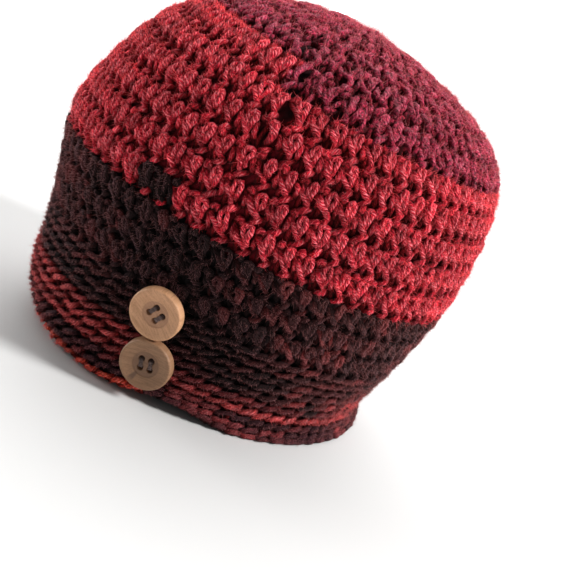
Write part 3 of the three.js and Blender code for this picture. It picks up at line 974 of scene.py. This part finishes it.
hairs = {
    "crown": {"count": 47500, "length": 1.8, "seed": 21},  # length: mm, amid a wide spread
    "lower": {"count": 15000, "length": 1.8, "seed": 23},
    "band": {"count": 45500, "length": 1.1, "seed": 22},
    "thick": 0.065,  # mm radius at the root, drawn coarser than real wool so that it shows
    "spread": 0.45,  # how far they lean from straight out
    "brighter": 0.95,
    "fuzz": (0.12, 0.07, 0.067),  # paler than the strands by this much
    "glow": 1.0,  # what shines through them is this many times their shade,
    "pale": (0.55, 0.31, 0.3),  # and this much paler
    "glowShare": 0.7,
}


def hairMaterial():
    # Stray wool fibres: matt, and half clear, so that they glow against the light.
    material, add = emptied(bpy.data.materials.new("stray wool fibres"))
    shade = add("VertexColor", layer_name="yarnColour")
    matt = add("BsdfDiffuse", Color=shade, Roughness=0.8)
    glow = add("VectorMath", operation="MULTIPLY_ADD", in0=shade, in1=(hairs["glow"],) * 3,
               in2=hairs["pale"])
    clear = add("BsdfTranslucent", Color=glow)
    shader = add("MixShader", in0=hairs["glowShare"], in1=matt, in2=clear)
    add("OutputMaterial", Surface=shader)
    return material


hairWool = hairMaterial()


def makeHairs(name, roots, count, length, seed):
    # thin three-sided needles from random places on the outer strands
    rng = np.random.default_rng(seed)
    paths, outwards, radii, shades = (np.concatenate(part) for part in zip(*roots))
    pick = rng.integers(0, len(paths), count)
    lean = unit(outwards[pick] + rng.normal(0, hairs["spread"], (count, 3)))
    root = paths[pick] + lean * radii[pick][:, None] * 0.9
    tip = root + lean * length * millimetre * rng.lognormal(0, 0.45, (count, 1))
    side = unit(np.cross(lean, rng.normal(0, 1, lean.shape)))
    other = np.cross(lean, side)
    turn = 2 * np.pi * np.arange(3) / 3
    ring = (np.cos(turn)[None, :, None] * side[:, None]
            + np.sin(turn)[None, :, None] * other[:, None])
    points = np.concatenate([root[:, None] + ring * hairs["thick"] * millimetre, tip[:, None]], 1)
    points[..., 2] = np.maximum(points[..., 2], 0.0003)
    offsets = (np.arange(count) * 4)[:, None, None]
    sides = (offsets + np.array([[0, 1, 3], [1, 2, 3], [2, 0, 3], [2, 1, 0]])[None]).reshape(-1, 3)
    colours = np.clip(shades[pick] * hairs["brighter"] + np.array(hairs["fuzz"]), 0, 1)
    colours = np.repeat(colours, 4, axis=0)
    colours = np.concatenate([colours, np.ones((len(colours), 1))], 1)
    return meshPiece(name, points.reshape(-1, 3), [sides], hairWool, colours)


for place, roots, slotName in (("crown", crownRoots, "crown_yarn"),
                               ("lower", lowerRoots, "crown_yarn"),
                               ("band", bandRoots, "band_yarn")):
    piece = makeHairs("stray_hairs_" + place, roots, **hairs[place])
    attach(piece, "root")
print("stray hairs made")

# Camera, floor and light.

view = {
    "position": (0.45126, 0.06691, 0.19567),
    "aim": (0.0, 0.02765, 0.0528),
    "roll": 22.16,
    "lens": 55.25,
}
cameraData = bpy.data.cameras.new("camera")
cameraData.lens = view["lens"]
cameraData.sensor_width = 36
cameraData.clip_start = 0.01
camera = newObject("camera", cameraData)
forward = (Vector(view["aim"]) - Vector(view["position"])).normalized()
turned = forward.to_track_quat("-Z", "Y").to_matrix() @ Matrix.Rotation(
    math.radians(view["roll"]), 3, "Z")
camera.matrix_world = Matrix.Translation(Vector(view["position"])) @ turned.to_4x4()
bpy.context.scene.camera = camera

floorMesh = bpy.data.meshes.new("floor")
floorMesh.from_pydata([(-40, -40, 0), (40, -40, 0), (40, 40, 0), (-40, 40, 0)], [], [(0, 1, 2, 3)])
floor = newObject("floor", floorMesh)
# Matt pale painted board: even and without gloss.
floorPaint, add = emptied(bpy.data.materials.new("matt pale board"))
floorShader = add("BsdfPrincipled", Base_Color="#d4d4d3", Roughness=0.9)
add("OutputMaterial", Surface=floorShader)
floorMesh.materials.append(floorPaint)

# The room is white, and dimmer on the side that faces the buttons; a broad lamp above the back of
# the hat is the main light, and a weaker one fills from its front.
studio = {
    "white": 4.8,
    "dim": 0.16,
    "low": 1.0,  # a pale band all round, down where wall and floor meet
    "lampFrom": (0.08, 0.8, 0.58),
    "lampWidth": 12,  # degrees
    "lampStrength": 4.0,
    "fillFrom": (-0.2, -0.95, 0.2),
    "fillWidth": 30,
    "fillStrength": 1.9,
}
world, add = emptied(bpy.data.worlds.new("studio"))
sky = add("TexCoord")
skyParts = add("SeparateXYZ", Vector=sky.outputs["Generated"])
skyShare = add("MapRange", Value=skyParts.outputs["X"], From_Min=-1.0, From_Max=-0.05,
               To_Min=studio["white"], To_Max=studio["dim"])
skyLow = add("MapRange", Value=skyParts.outputs["Z"], From_Min=0.07, From_Max=0.14,
             To_Min=studio["low"], To_Max=0.0)
skyStrength = add("Math", operation="MAXIMUM", in0=skyShare, in1=skyLow)
skyLight = add("Background", Color="#ffffff", Strength=skyStrength)
add("OutputWorld", Surface=skyLight)
bpy.context.scene.world = world
bpy.context.scene.view_settings.view_transform = "Standard"

for part in ("lamp", "fill"):
    lamp = bpy.data.lights.new("broad " + part, "SUN")
    lamp.angle = math.radians(studio[part + "Width"])
    lamp.energy = studio[part + "Strength"]
    towards = -Vector(studio[part + "From"])
    light = newObject("broad " + part, lamp)
    light.matrix_world = towards.to_track_quat("-Z", "Y").to_matrix().to_4x4()
print("camera, floor and light set")
